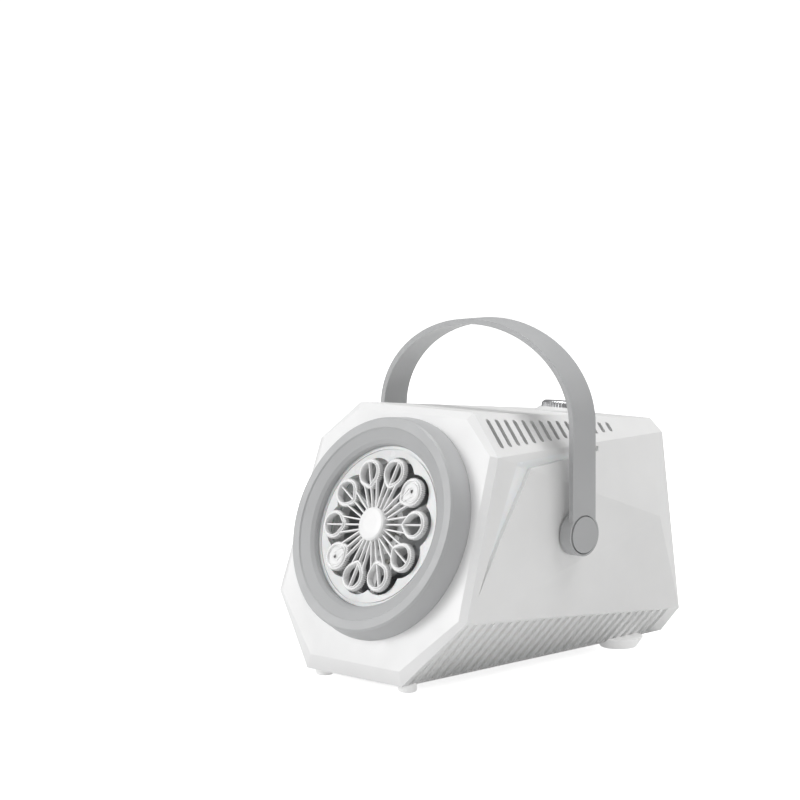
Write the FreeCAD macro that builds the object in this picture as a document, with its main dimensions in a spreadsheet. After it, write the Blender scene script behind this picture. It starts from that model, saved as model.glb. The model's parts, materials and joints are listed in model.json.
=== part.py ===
"""Bubble machine: an eight-sided tapering housing with a ringed outlet and a ten-loop wand wheel.

The part stands on the floor, Z = 0, with its origin under the middle of its bounding box.
The outlet faces -Y and leans back, +X is the machine's left side and +Z is up.  Sizes are in mm.
"""
import FreeCAD, Part
import Sketcher
import math
import os

Vector = FreeCAD.Vector
Placement = FreeCAD.Placement
Rotation = FreeCAD.Rotation
X_AXIS = Vector(1, 0, 0)
Y_AXIS = Vector(0, 1, 0)
Z_AXIS = Vector(0, 0, 1)
SIDES = (("left", 1), ("right", -1))

doc = FreeCAD.newDocument("BubbleMachine")
sheet = doc.addObject("Spreadsheet::Sheet", "Sizes")

# Driving dimensions: (alias, value).  Heights called "up" are measured along the leaning front
# from its bottom edge, and heights called "rise" outward from the front's rim plane.
DIMENSIONS = (
    # housing outline
    ("origin_y", 102.0), ("floor_gap", 4.2), ("front_tilt", 19.0), ("rear_tilt", 6.8),
    ("foot_half", 35.6), ("waist_half", 70.6), ("waist_up", 38.2),
    ("shoulder_half", 66.5), ("shoulder_up", 124.2), ("crown_half", 42.4), ("crown_up", 146.3),
    ("rear_y", 209.7), ("rear_base_half", 34.2), ("rear_waist_half", 48.9),
    ("rear_shoulder_half", 46.1), ("rear_crown_half", 38.0), ("rear_crown_z", 127.6),
    ("apex_half", 57.0), ("apex_y", 180.7), ("apex_z", 75.3), ("wall", 2.4), ("gap", 0.1),
    # front frame
    ("frame_depth", 3.0), ("panel_rise", 2.0), ("panel_inset", 4.2), ("panel_foot_inset", 7.5),
    ("panel_wall", 2.6), ("outlet_bore", 39.5), ("outlet_boss", 46.0),
    # outlet ring and light ring
    ("ring_up", 79.8), ("ring_foot", 60.0), ("ring_edge", 56.9), ("ring_rise", 14.0),
    ("lip_inner", 52.0), ("throat_outer", 45.8), ("throat_inner", 43.2), ("throat_rise", 11.6),
    ("lens_rise", 7.5), ("lens_thick", 3.5), ("lobe_centre", 25.0), ("lobe_reach", 38.0),
    ("groove_at", 41.0), ("groove_wide", 0.6), ("groove_deep", 0.6), ("led_size", 2.4),
    ("board_thick", 1.2),
    # wand wheel
    ("loops", 10), ("wheel_phase", 12.5), ("wheel_gap", 0.6), ("wheel_thick", 4.0),
    ("wheel_reach", 37.0), ("loop_half", 7.8), ("loop_root_half", 3.8), ("loop_root", 20.2),
    ("loop_wall", 1.9), ("spoke_wide", 0.9), ("spoke_deep", 2.0), ("hub_outer", 8.9),
    ("hub_cap_thick", 1.6), ("hub_barrel", 5.0), ("axle_half", 1.55), ("bore_clearance", 0.05),
    # drive behind the wheel
    ("cradle_inner", 12.4), ("cradle_outer", 16.0), ("cradle_deep", 4.5), ("arm_wide", 3.0),
    ("arm_deep", 3.0), ("bracket_rim", 3.0), ("bracket_flange", 1.6), ("gear_module", 0.8),
    ("wheel_teeth", 30), ("pinion_teeth", 10), ("gear_thick", 3.0), ("mesh_clearance", 0.15),
    ("case_wall", 1.2), ("motor_half", 7.8), ("motor_long", 20.0), ("shaft_half", 1.0),
    ("shaft_seat", 6.0),
    # fan
    ("duct_bore", 43.0), ("duct_wall", 2.0), ("duct_long", 28.0), ("fan_reach", 33.5),
    ("fan_gap", 1.5), ("fan_ring_wall", 2.4), ("fan_ring_long", 16.0), ("blades", 7),
    ("fan_hub", 9.0), ("blade_deep", 10.0), ("blade_thick", 1.4), ("blade_pitch", 32.0),
    ("fan_motor_half", 12.0), ("fan_motor_long", 18.0),
    # vents and ribs
    ("vents", 15), ("vent_first", 7.5), ("vent_pitch", 7.04), ("vent_wide", 2.8),
    ("vent_top_inset", 4.6), ("vent_foot_inset", 5.4), ("vent_slant", 10.0),
    ("ribs", 28), ("rib_pitch", 7.25), ("rib_groove", 3.9), ("rib_deep", 1.5), ("rib_inset", 0.8),
    ("rib_first", 4.6),
    # side light guides
    ("guide_thick", 1.2), ("guide_lap", 1.5), ("side_board_wide", 8.0), ("side_board_long", 44.0),
    ("side_board_x", 59.4), ("side_board_y", 50.0), ("side_board_z", 62.0),
    ("side_post_half", 2.0),
    # carry handle
    ("pivot_y", 100.4), ("pivot_z", 75.6), ("eye_clear", 1.016), ("strap_thick", 3.0),
    ("strap_wide", 17.8), ("arm_top_z", 134.0), ("arch_rise", 53.0), ("eye_half", 11.4),
    ("eye_thick", 7.2), ("eye_gap", 0.3), ("pin_half", 3.0), ("cap_half", 9.7),
    ("cap_deep", 2.0), ("cap_gap", 0.6), ("cap_proud", 0.5), ("pivot_boss", 8.5), ("boss_long", 8.0),
    # power button and board
    ("button_y", 163.4), ("bezel_foot_wall", 3.0), ("bezel_top_wall", 1.2), ("bezel_rise", 2.6),
    ("spigot_wall", 1.0), ("button_half", 11.6), ("button_rise", 6.2), ("button_skirt", 3.0),
    ("button_bore_gap", 0.2), ("button_stem", 3.0), ("board_drop", 16.0), ("board_half", 24.0),
    ("board_fore", 24.0), ("board_aft", 20.0), ("switch_wide", 7.0), ("switch_tall", 4.6),
    ("button_travel", 2.0), ("switch_gap", 0.2), ("plunger_half", 1.5), ("plunger_seat", 4.0), ("post_half", 2.6),
    # power and solution
    ("cell_count", 4), ("cell_half", 7.2), ("cell_long", 50.0), ("cell_gap", 0.6), ("bay_wall", 1.5),
    ("bay_y", 94.0), ("cell_lift", 0.4), ("cell_head", 1.2), ("door_margin", 3.5), ("contact_thick", 0.4),
    ("contact_wide", 8.0), ("tank_half", 30.0), ("tank_y", 25.0), ("tank_long", 62.0),
    ("tank_tall", 14.0), ("tank_wall", 1.5), ("port_half", 4.6), ("port_tall", 3.4),
    ("port_up", 36.0), ("port_deep", 7.0),
    # feet and screws
    ("front_foot_half", 4.8), ("front_foot_top", 4.8), ("front_foot_x", 31.5),
    ("front_foot_y", 8.7), ("front_foot_tall", 11.0), ("rear_foot_half", 10.0),
    ("rear_foot_top", 13.5), ("rear_foot_x", 33.0), ("rear_foot_y", 174.0),
    ("rear_foot_tall", 6.0), ("foot_edge", 1.2),
    ("screw_half", 1.25), ("screw_head", 2.7), ("screw_head_deep", 1.8), ("screw_long", 14.0),
    ("cover_thick", 4.0), ("low_screw_x", 35.0), ("low_screw_up", 8.0), ("high_screw_x", 35.0),
    ("high_screw_up", 112.0),
)


class Size:
    """A sheet value, or a sum of them, with the expression text that binds a property to it."""

    def __init__(self, value, text):
        self.value = value
        self.text = text

    def combine(self, other, sign, value):
        text = other.text if isinstance(other, Size) else repr(other)
        return Size(value, "(%s %s %s)" % (self.text, sign, text))

    def __float__(self):
        return float(self.value)

    def __add__(self, other):
        return self.combine(other, "+", self.value + float(other))

    def __sub__(self, other):
        return self.combine(other, "-", self.value - float(other))

    def __mul__(self, other):
        return self.combine(other, "*", self.value * float(other))

    def __truediv__(self, other):
        return self.combine(other, "/", self.value / float(other))


class Sizes:
    """The sheet's values by name: sizes.wall is a Size bound to the cell with the alias wall."""

    def __init__(self):
        for row, (alias, value) in enumerate(DIMENSIONS, start=1):
            sheet.set("A%d" % row, alias)
            sheet.set("B%d" % row, str(value))
            sheet.setAlias("B%d" % row, alias)
        doc.recompute()
        for alias, _ in DIMENSIONS:
            setattr(self, alias, Size(sheet.get(alias), "Sizes." + alias))


sizes = Sizes()


def number(alias):
    return float(getattr(sizes, alias))


def count(alias):
    return int(number(alias))


# ---------------------------------------------------------------- places

FLOOR = Placement(Vector(0, -number("origin_y"), 0), Rotation())
TILT = math.radians(number("front_tilt"))
REAR_TILT = math.radians(number("rear_tilt"))


def front_point(half, up, rise=0.0):
    """A point on the leaning front: sideways, up along it, and out of it, above the floor."""
    return Vector(half, up * math.sin(TILT) - rise * math.cos(TILT),
                  number("floor_gap") + up * math.cos(TILT) + rise * math.sin(TILT))


def rear_point(half, height):
    """A point on the rear plane at a height above the floor."""
    drop = (height - number("floor_gap")) * math.tan(REAR_TILT)
    return Vector(half, number("rear_y") - drop, height)


OUTLET_AXIS = FLOOR * Placement(front_point(0, number("ring_up")),
                                Rotation(X_AXIS, 90.0 - number("front_tilt")))


def on_front(rise=0.0, side=0.0, up=0.0):
    """A place on the outlet's axis, with Z out of the front, moved sideways and up along it."""
    return OUTLET_AXIS * Placement(Vector(side, up, rise), Rotation())


# ---------------------------------------------------------------- the housing's planes

FOOT = front_point(number("foot_half"), 0)
WAIST = front_point(number("waist_half"), number("waist_up"))
SHOULDER = front_point(number("shoulder_half"), number("shoulder_up"))
CROWN = front_point(number("crown_half"), number("crown_up"))
REAR_FOOT = rear_point(number("rear_base_half"), number("floor_gap"))
REAR_CROWN = rear_point(number("rear_crown_half"), number("rear_crown_z"))
APEX = Vector(number("apex_half"), number("apex_y"), number("apex_z"))
CENTRE = Vector(0, number("rear_y") / 2, number("rear_crown_z") / 2)


class Plane:
    """A plane with its normal pointing out of the housing."""

    def __init__(self, point, normal):
        self.point = point
        self.normal = normal / normal.Length

    def moved(self, inward):
        return Plane(self.point - self.normal * inward, self.normal)

    def mirrored(self):
        flip = lambda v: Vector(-v.x, v.y, v.z)
        return Plane(flip(self.point), flip(self.normal))


def plane_through(first, second, third):
    normal = (second - first).cross(third - first)
    if normal.dot(first - CENTRE) < 0:
        normal = normal * -1
    return Plane(first, normal)


def rear_corner(plane, half):
    """Where a side plane meets the rear plane at a half width."""
    low = rear_point(half, 0)
    along = rear_point(half, 1) - low
    travel = (plane.point - low).dot(plane.normal) / along.dot(plane.normal)
    return low + along * travel


VENT_PLANE = plane_through(CROWN, SHOULDER, REAR_CROWN)
RIB_PLANE = plane_through(FOOT, WAIST, REAR_FOOT)
REAR_SHOULDER = rear_corner(VENT_PLANE, number("rear_shoulder_half"))
REAR_WAIST = rear_corner(RIB_PLANE, number("rear_waist_half"))
FRONT_PLANE = Plane(FOOT, Vector(0, -math.cos(TILT), math.sin(TILT)))
REAR_PLANE = Plane(REAR_FOOT, Vector(0, math.cos(REAR_TILT), math.sin(REAR_TILT)))
TOP_PLANE = plane_through(CROWN, Vector(-CROWN.x, CROWN.y, CROWN.z), REAR_CROWN)
BOTTOM_PLANE = Plane(FOOT, Z_AXIS * -1)
SEAM_PLANE = plane_through(WAIST, Vector(-WAIST.x, WAIST.y, WAIST.z), REAR_WAIST)
ONE_SIDE = (VENT_PLANE, RIB_PLANE,
            plane_through(SHOULDER, REAR_SHOULDER, APEX),
            plane_through(SHOULDER, APEX, WAIST),
            plane_through(WAIST, APEX, REAR_WAIST),
            plane_through(REAR_SHOULDER, APEX, REAR_WAIST))
AROUND = ONE_SIDE + tuple(plane.mirrored() for plane in ONE_SIDE) + (TOP_PLANE, BOTTOM_PLANE)
SPACE = 2 * (number("rear_y") + number("rear_crown_z"))


def beyond(plane):
    """A large block that lies outside a plane."""
    block = Part.makeBox(2 * SPACE, 2 * SPACE, 2 * SPACE, Vector(-SPACE, -SPACE, 0))
    block.Placement = Placement(plane.point, Rotation(Z_AXIS, plane.normal))
    return block


def within(planes):
    """The solid that lies inside every plane."""
    solid = Part.makeBox(SPACE, SPACE, SPACE, Vector(-SPACE / 2, -SPACE / 2, -SPACE / 2))
    for plane in planes:
        solid = solid.cut(beyond(plane))
    return solid


def housing_block(inset, front_depth, rear_depth):
    """The housing's outline moved inward, between two depths from its front and its rear."""
    planes = [plane.moved(inset) for plane in AROUND]
    planes.append(FRONT_PLANE.moved(front_depth))
    planes.append(REAR_PLANE.moved(rear_depth))
    return within(planes)


def end_slab(plane, depth):
    """The slice of the housing between an end plane and a depth in from it."""
    return housing_block(0, 0, 0).common(beyond(plane.moved(depth)))


# ---------------------------------------------------------------- making objects

NODES = []


def keep(item, label):
    """Marks a document object as a sub-part of its own."""
    item.Label = label
    NODES.append((label, item))
    return item


def bind(item, **values):
    for name, value in values.items():
        if isinstance(value, Size):
            item.setExpression(name, value.text)
        else:
            setattr(item, name, value)


def cylinder(name, radius, height, place):
    item = doc.addObject("Part::Cylinder", name)
    bind(item, Radius=radius, Height=height)
    item.Placement = place
    return item


def box(name, long, wide, tall, corner, place=FLOOR):
    item = doc.addObject("Part::Box", name)
    bind(item, Length=long, Width=wide, Height=tall)
    item.Placement = place * Placement(Vector(*[float(value) for value in corner]), Rotation())
    return item


def cut(name, base, *tools):
    item = doc.addObject("Part::Cut", name)
    item.Base = base
    item.Tool = tools[0] if len(tools) == 1 else fuse(name + "_tools", *tools)
    return item


def fuse(name, *shapes):
    item = doc.addObject("Part::MultiFuse", name)
    item.Shapes = list(shapes)
    return item


def solid(name, shape, place=FLOOR):
    """An object whose shape comes from the sheet's values through Part's own functions."""
    item = doc.addObject("Part::Feature", name)
    own = shape.Placement
    item.Shape = shape
    item.Placement = place * own
    return item


def turned(name, profile, place):
    """A body turned about its Z axis.  The profile is a list of (radius, height)."""
    body = doc.addObject("PartDesign::Body", name)
    sketch = body.newObject("Sketcher::SketchObject", name + "_profile")
    upright = [item for item in body.Origin.OriginFeatures if item.Role == "XZ_Plane"][0]
    sketch.AttachmentSupport = [(upright, "")]
    sketch.MapMode = "FlatFace"
    corners = [Vector(float(radius), float(height), 0) for radius, height in profile]
    last = len(corners)
    for index, corner in enumerate(corners):
        sketch.addGeometry(Part.LineSegment(corner, corners[(index + 1) % last]), False)
    for index in range(last):
        after = (index + 1) % last
        sketch.addConstraint(Sketcher.Constraint("Coincident", index, 2, after, 1))
    for index, pair in enumerate(profile):
        for kind, axis, value in (("DistanceX", -2, pair[0]), ("DistanceY", -1, pair[1])):
            if float(value) == 0.0:
                sketch.addConstraint(Sketcher.Constraint("PointOnObject", index, 1, axis))
                continue
            which = sketch.addConstraint(
                Sketcher.Constraint(kind, -1, 1, index, 1, float(value)))
            if isinstance(value, Size):
                sketch.setExpression("Constraints[%d]" % which, value.text)
    turn = body.newObject("PartDesign::Revolution", name + "_turn")
    turn.Profile = sketch
    turn.ReferenceAxis = (sketch, ["V_Axis"])
    turn.Angle = 360.0
    sketch.Visibility = False
    body.Placement = place
    return body


def tube(name, inner, outer, height, place):
    """A plain turned tube."""
    return turned(name, [(inner, 0), (outer, 0), (outer, height), (inner, height)], place)


def slab(outline, place_z, height):
    """A closed wire of edges, made into a prism along Z."""
    prism = Part.Face(Part.Wire(Part.sortEdges(outline)[0])).extrude(Vector(0, 0, height))
    prism.translate(Vector(0, 0, place_z))
    return prism


def polygon(points):
    return Part.makePolygon(list(points) + [points[0]]).Edges


# ---------------------------------------------------------------- front frame and rings

def front_octagon(inset, foot_inset, rise):
    """The front's eight corners, moved toward its middle, at a rise above the rim plane."""
    corners = []
    rows = (("foot_half", 0.0, foot_inset), ("waist_half", number("waist_up"), 0.0),
            ("shoulder_half", number("shoulder_up"), 0.0),
            ("crown_half", number("crown_up"), -inset))
    for alias, up, lift in rows:
        side_inset = inset * 0.5 if alias in ("foot_half", "crown_half") else inset
        corners.append((number(alias) - side_inset, up + lift))
    right = [front_point(half, up, rise) for half, up in corners]
    left = [front_point(-half, up, rise) for half, up in reversed(corners)]
    return Part.makePolygon(right + left + [right[0]])


def make_front_frame():
    rim = end_slab(FRONT_PLANE, number("frame_depth"))
    panel = Part.makeLoft([front_octagon(0, 0, 0),
                           front_octagon(number("panel_inset"), number("panel_foot_inset"),
                                         number("panel_rise"))], True, True)
    depth = number("panel_wall") - number("panel_rise")
    hollow = housing_block(number("wall"), depth, 0)
    boss = Part.makeCylinder(number("outlet_boss"), SPACE, Vector(0, 0, -SPACE / 2))
    bore = Part.makeCylinder(number("outlet_bore"), SPACE, Vector(0, 0, -SPACE / 2))
    local = FLOOR.inverse() * OUTLET_AXIS
    for shape in (boss, bore):
        shape.Placement = local
    shape = rim.fuse(panel).cut(hollow.cut(boss)).cut(bore).removeSplitter()
    keep(solid("front_frame", shape), "front_frame")


def make_outlet_ring():
    base = sizes.panel_rise
    height = sizes.ring_rise - base
    throat = sizes.throat_rise - base
    keep(turned("outlet_ring", [
        (sizes.throat_inner + sizes.gap, 0), (sizes.ring_foot, 0), (sizes.ring_foot, 1.2),
        (sizes.ring_edge + 0.6, height - 1.0), (sizes.ring_edge - 0.4, height),
        (sizes.lip_inner, height), (sizes.lip_inner - 0.8, height - 0.7),
        (sizes.throat_outer, throat), (sizes.throat_inner + sizes.gap + 0.6, throat - 1.2),
        (sizes.throat_inner + sizes.gap, throat - 2.4),
    ], on_front(number("panel_rise"))), "outlet_ring")


def lobed_opening(height):
    """A prism of overlapping lobes, one for each loop of the wheel."""
    centre = number("lobe_centre")
    radius = number("lobe_reach") - centre
    opening = Part.makeCylinder(centre, height)
    for index in range(count("loops")):
        angle = math.radians(number("wheel_phase") + index * 360.0 / count("loops"))
        middle = Vector(centre * math.sin(angle), centre * math.cos(angle), 0)
        opening = opening.fuse(Part.makeCylinder(radius, height, middle))
    return opening


def make_light_ring():
    blank = turned("light_ring_blank", [
        (sizes.cradle_outer, 0), (sizes.throat_inner, 0), (sizes.throat_inner, sizes.lens_thick),
        (sizes.groove_at + sizes.groove_wide, sizes.lens_thick),
        (sizes.groove_at + sizes.groove_wide, sizes.lens_thick - sizes.groove_deep),
        (sizes.groove_at, sizes.lens_thick - sizes.groove_deep),
        (sizes.groove_at, sizes.lens_thick), (sizes.cradle_outer, sizes.lens_thick),
    ], on_front(number("lens_rise") - number("lens_thick")))
    opening = solid("light_ring_opening", lobed_opening(number("lens_rise")), on_front())
    keep(cut("light_ring", blank, opening), "light_ring")


def make_ring_light_board():
    base = number("panel_rise")
    board = tube("ring_board_disc", sizes.outlet_bore + sizes.gap,
                 sizes.throat_inner - sizes.gap, sizes.board_thick, on_front(base))
    middle = (number("outlet_bore") + number("throat_inner")) / 2
    lamp_tall = number("lens_rise") - number("lens_thick") - base - number("board_thick")
    lamps = []
    for index in range(count("loops")):
        angle = 360.0 * index / count("loops")
        spin = Placement(Vector(), Rotation(Z_AXIS, angle))
        half = number("led_size") / 2
        lamps.append(box("ring_lamp_%d" % index, sizes.led_size, sizes.led_size, lamp_tall,
                         (middle - half, -half, number("board_thick")), on_front(base) * spin))
    keep(fuse("ring_light_board", board, *lamps), "ring_light_board")


# ---------------------------------------------------------------- wand wheel

def drop_outline(wall):
    """The teardrop of one loop along +Y, inside its outer line by a wall."""
    big = number("loop_half") - wall
    small = max(number("loop_root_half") - wall, 0.6)
    far = number("wheel_reach") - number("loop_half")
    near = number("loop_root") + number("loop_root_half")
    lean = math.asin((big - small) / (far - near))
    side = Vector(math.cos(lean), -math.sin(lean), 0)
    other = Vector(-side.x, side.y, 0)
    far_middle = Vector(0, far, 0)
    near_middle = Vector(0, near, 0)
    return [
        Part.Arc(far_middle + side * big, Vector(0, far + big, 0),
                 far_middle + other * big).toShape(),
        Part.LineSegment(far_middle + other * big, near_middle + other * small).toShape(),
        Part.Arc(near_middle + other * small, Vector(0, near - small, 0),
                 near_middle + side * small).toShape(),
        Part.LineSegment(near_middle + side * small, far_middle + side * big).toShape(),
    ]


def spoke(start, end):
    """A thin bar between two points of the wheel's plane."""
    along = end - start
    bar = Part.makeBox(number("spoke_wide"), along.Length, number("spoke_deep"),
                       Vector(-number("spoke_wide") / 2, 0, 0))
    bar.Placement = Placement(start, Rotation(Y_AXIS, along))
    return bar


def make_loop(filled):
    """One loop along +Y: its wall, its rib and three spokes, or a filled paddle."""
    thick = number("wheel_thick")
    wall = slab(drop_outline(0), 0, thick)
    inner = slab(drop_outline(number("loop_wall")), 0, thick)
    lift = Vector(0, 0, (thick - number("spoke_deep")) / 2)
    start = number("hub_outer") - 1.0
    if filled:
        loop = wall.cut(inner)
        plate = slab(drop_outline(number("loop_wall")), thick * 0.35, thick * 0.5)
        hole = Part.makeCylinder(0.9, thick, Vector(0, number("wheel_reach") - 7.5, 0))
        pieces = [loop.fuse(plate.cut(hole)),
                  spoke(Vector(0, start, 0) + lift, Vector(0, number("loop_root") + 1, 0) + lift)]
    else:
        rib_end = number("wheel_reach") - number("loop_wall") / 2
        pieces = [wall.cut(inner),
                  spoke(Vector(0, start, 0) + lift, Vector(0, rib_end, 0) + lift)]
    for side in (-1, 1):
        foot = Vector(side * 2.4, start - 0.4, 0) + lift
        head = Vector(side * (number("loop_half") - 2.2), number("loop_root") + 5.0, 0) + lift
        pieces.append(spoke(foot, head))
    joined = pieces[0].multiFuse(pieces[1:])
    return joined


def make_wand_wheel():
    loops = count("loops")
    shapes = []
    for index in range(loops):
        loop = make_loop(index % (loops // 2) == 1)
        angle = -(number("wheel_phase") + index * 360.0 / loops)
        loop.rotate(Vector(), Z_AXIS, angle)
        shapes.append(loop)
    thick = number("wheel_thick")
    hub = Part.makeCylinder(number("hub_outer"), thick)
    wheel = hub.multiFuse(shapes)
    bore = Part.makeCylinder(number("axle_half"), thick)
    wheel = wheel.cut(bore).removeSplitter()
    rise = number("lens_rise") + number("wheel_gap")
    keep(solid("wand_wheel", wheel, on_front(rise)), "wand_wheel")


def make_hub_cap():
    rise = number("lens_rise") + number("wheel_gap") + number("wheel_thick")
    thick = sizes.hub_cap_thick
    keep(turned("hub_cap", [
        (0, 0), (sizes.hub_outer, 0), (sizes.hub_outer, thick * 0.5),
        (sizes.hub_outer - 0.9, thick * 0.85), (sizes.hub_outer * 0.55, thick), (0, thick),
    ], on_front(rise)), "hub_cap")


def make_wheel_axle():
    top = number("lens_rise") + number("wheel_gap") + number("wheel_thick")
    foot = -CASE_DEPTH
    axle = cylinder("wheel_axle", sizes.axle_half, top - foot, on_front(foot))
    collar = tube("axle_collar", sizes.axle_half - 0.3, sizes.hub_barrel,
                  sizes.lens_rise + sizes.wheel_gap - CRADLE_TOP - 0.2, on_front(CRADLE_TOP + 0.2))
    keep(fuse("wheel_axle_turned", axle, collar), "wheel_axle")


# ---------------------------------------------------------------- bracket, gears and motor

ARM_FOOT = -2.0
CRADLE_TOP = ARM_FOOT + number("arm_deep") + number("cradle_deep")
GEAR_TOP = ARM_FOOT - 0.8
GEAR_FOOT = GEAR_TOP - number("gear_thick")
CASE_INNER = GEAR_FOOT - 0.8
CASE_DEPTH = -(CASE_INNER - number("case_wall"))
CENTRES = (number("gear_module") * (number("wheel_teeth") + number("pinion_teeth")) / 2
           + number("mesh_clearance"))


def make_wheel_bracket():
    flange_foot = -number("frame_depth") - number("bracket_flange")
    rim_outer = sizes.outlet_bore - sizes.gap
    rim_inner = rim_outer - sizes.bracket_rim
    rim_top = -flange_foot + ARM_FOOT + number("arm_deep")
    rim = turned("bracket_rim_turned", [
        (rim_inner, 0), (sizes.duct_bore - sizes.gap, 0),
        (sizes.duct_bore - sizes.gap, sizes.bracket_flange), (rim_outer, sizes.bracket_flange),
        (rim_outer, rim_top), (rim_inner, rim_top),
    ], on_front(flange_foot))
    cradle_top = sizes.arm_deep + sizes.cradle_deep
    cradle = tube("bracket_cradle", sizes.cradle_inner, sizes.cradle_outer, cradle_top,
                  on_front(ARM_FOOT))
    boss = cylinder("bracket_boss", sizes.hub_barrel, cradle_top, on_front(ARM_FOOT))
    arms = []
    reach = sizes.outlet_bore - sizes.bracket_rim
    for index in range(3):
        spin = Placement(Vector(), Rotation(Z_AXIS, -90.0 + 120.0 * index))
        arms.append(box("bracket_arm_%d" % index, reach, sizes.arm_wide, sizes.arm_deep,
                        (0, -number("arm_wide") / 2, 0), on_front(ARM_FOOT) * spin))
    body = fuse("bracket_body", rim, cradle, boss, *arms)
    bore = cylinder("bracket_bore", sizes.axle_half + sizes.bore_clearance, SPACE,
                    on_front(-SPACE / 2))
    notches = []
    for index in range(count("loops")):
        turn = 360.0 * (index + 0.5) / count("loops") - number("wheel_phase")
        spin = Placement(Vector(), Rotation(Z_AXIS, turn))
        notches.append(box("bracket_notch_%d" % index, 1.0, sizes.cradle_outer + 1.0,
                           sizes.cradle_deep, (-0.5, number("hub_barrel") + 2.0, 1.5),
                           on_front(ARM_FOOT + number("arm_deep")) * spin))
    keep(cut("wheel_bracket", body, bore, *notches), "wheel_bracket")


def gear_outline(teeth):
    """Plain straight-flanked teeth, thinner than their gaps so that they run freely."""
    module = number("gear_module")
    pitch = module * teeth / 2
    rows = ((pitch - 1.15 * module, 0.30), (pitch + 0.65 * module, 0.13))
    points = []
    for index in range(teeth):
        middle = index * 2 * math.pi / teeth
        step = 2 * math.pi / teeth
        for radius, share in (rows[0], rows[1]):
            angle = middle - share * step
            points.append(Vector(radius * math.cos(angle), radius * math.sin(angle), 0))
        for radius, share in (rows[1], rows[0]):
            angle = middle + share * step
            points.append(Vector(radius * math.cos(angle), radius * math.sin(angle), 0))
    return polygon(points)


def make_wheel_gear():
    thick = number("gear_thick")
    gear = slab(gear_outline(count("wheel_teeth")), 0, thick)
    gear.rotate(Vector(), Z_AXIS, -90.0)
    gear = gear.cut(Part.makeCylinder(number("axle_half"), thick))
    for index in range(5):
        angle = math.radians(72.0 * index)
        middle = Vector(6.6 * math.cos(angle), 6.6 * math.sin(angle), 0)
        gear = gear.cut(Part.makeCylinder(2.2, thick, middle))
    keep(solid("wheel_gear", gear, on_front(GEAR_FOOT)), "wheel_gear")


def make_motor_pinion():
    thick = number("gear_thick")
    teeth = count("pinion_teeth")
    pinion = slab(gear_outline(teeth), 0, thick)
    pinion.rotate(Vector(), Z_AXIS, 90.0 + 180.0 / teeth)
    foot = GEAR_FOOT - (-CASE_DEPTH) + number("shaft_seat") - 0.4
    pinion = pinion.fuse(Part.makeCylinder(number("shaft_half"), foot, Vector(0, 0, -foot)))
    keep(solid("motor_pinion", pinion, on_front(GEAR_FOOT, 0, -CENTRES)), "motor_pinion")


def make_gearbox_case():
    top = ARM_FOOT
    foot = -CASE_DEPTH
    gear_room = number("gear_module") * (number("wheel_teeth") / 2 + 1.0) + 0.5
    pinion_room = number("gear_module") * (number("pinion_teeth") / 2 + 1.0) + 0.6
    wall = number("case_wall")
    outer = Part.makeCylinder(gear_room + wall, top - foot)
    outer = outer.fuse(Part.makeCylinder(number("motor_half") + 0.6, top - foot,
                                         Vector(0, -CENTRES, 0)))
    inner = Part.makeCylinder(gear_room, top - foot, Vector(0, 0, wall))
    inner = inner.fuse(Part.makeCylinder(pinion_room, top - foot, Vector(0, -CENTRES, wall)))
    axle = Part.makeCylinder(number("axle_half") + number("bore_clearance"), 2 * wall)
    shaft = Part.makeCylinder(number("shaft_half") + number("bore_clearance"), 2 * wall,
                              Vector(0, -CENTRES, 0))
    case = outer.cut(inner).cut(axle).cut(shaft)
    keep(solid("gearbox_case", case, on_front(foot)), "gearbox_case")


def motor(name, half, long, rise, up=0.0):
    """A can motor whose front face is at a rise, with the seat its shaft turns in."""
    can = turned(name + "_can", [
        (0, 0), (half * 0.4, 0), (half * 0.4, 1.0), (half - 1.0, 1.0), (half, 2.0),
        (half, long - 0.8), (half - 0.8, long), (0, long),
    ], on_front(rise - float(long), 0, up))
    seat = cylinder(name + "_seat", sizes.shaft_half + sizes.bore_clearance, sizes.shaft_seat,
                    on_front(rise - number("shaft_seat"), 0, up))
    keep(cut(name, can, seat), name)


# ---------------------------------------------------------------- fan

DUCT_FOOT = -number("frame_depth") - number("duct_long")
FAN_RING_FOOT = DUCT_FOOT - number("fan_ring_long")
FAN_MOTOR_TOP = FAN_RING_FOOT + 2.0
FAN_FOOT = FAN_MOTOR_TOP + 2.0


def make_air_duct():
    outer = sizes.duct_bore + sizes.duct_wall
    keep(tube("air_duct", sizes.duct_bore, outer, sizes.duct_long, on_front(DUCT_FOOT)),
         "air_duct")


def make_fan_housing():
    bore = sizes.fan_reach + sizes.fan_gap
    outer = bore + sizes.fan_ring_wall
    length = sizes.fan_ring_long
    ring = turned("fan_ring", [
        (bore, 0), (outer, 0), (outer, length - 2.0),
        (sizes.duct_bore + sizes.duct_wall, length - 2.0),
        (sizes.duct_bore + sizes.duct_wall, length), (bore, length),
    ], on_front(FAN_RING_FOOT))
    cup = tube("fan_motor_cup", sizes.fan_motor_half + sizes.gap, sizes.fan_motor_half + 1.6, 6.0,
               on_front(FAN_MOTOR_TOP - 6.0))
    arms = []
    for index in range(3):
        spin = Placement(Vector(), Rotation(Z_AXIS, 90.0 + 120.0 * index))
        arms.append(box("fan_arm_%d" % index, bore + 1.0 - sizes.fan_motor_half - 0.8, 4.0, 2.0,
                        (number("fan_motor_half") + 0.8, -2.0, 0),
                        on_front(FAN_RING_FOOT) * spin))
    keep(fuse("fan_housing", ring, cup, *arms), "fan_housing")


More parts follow.
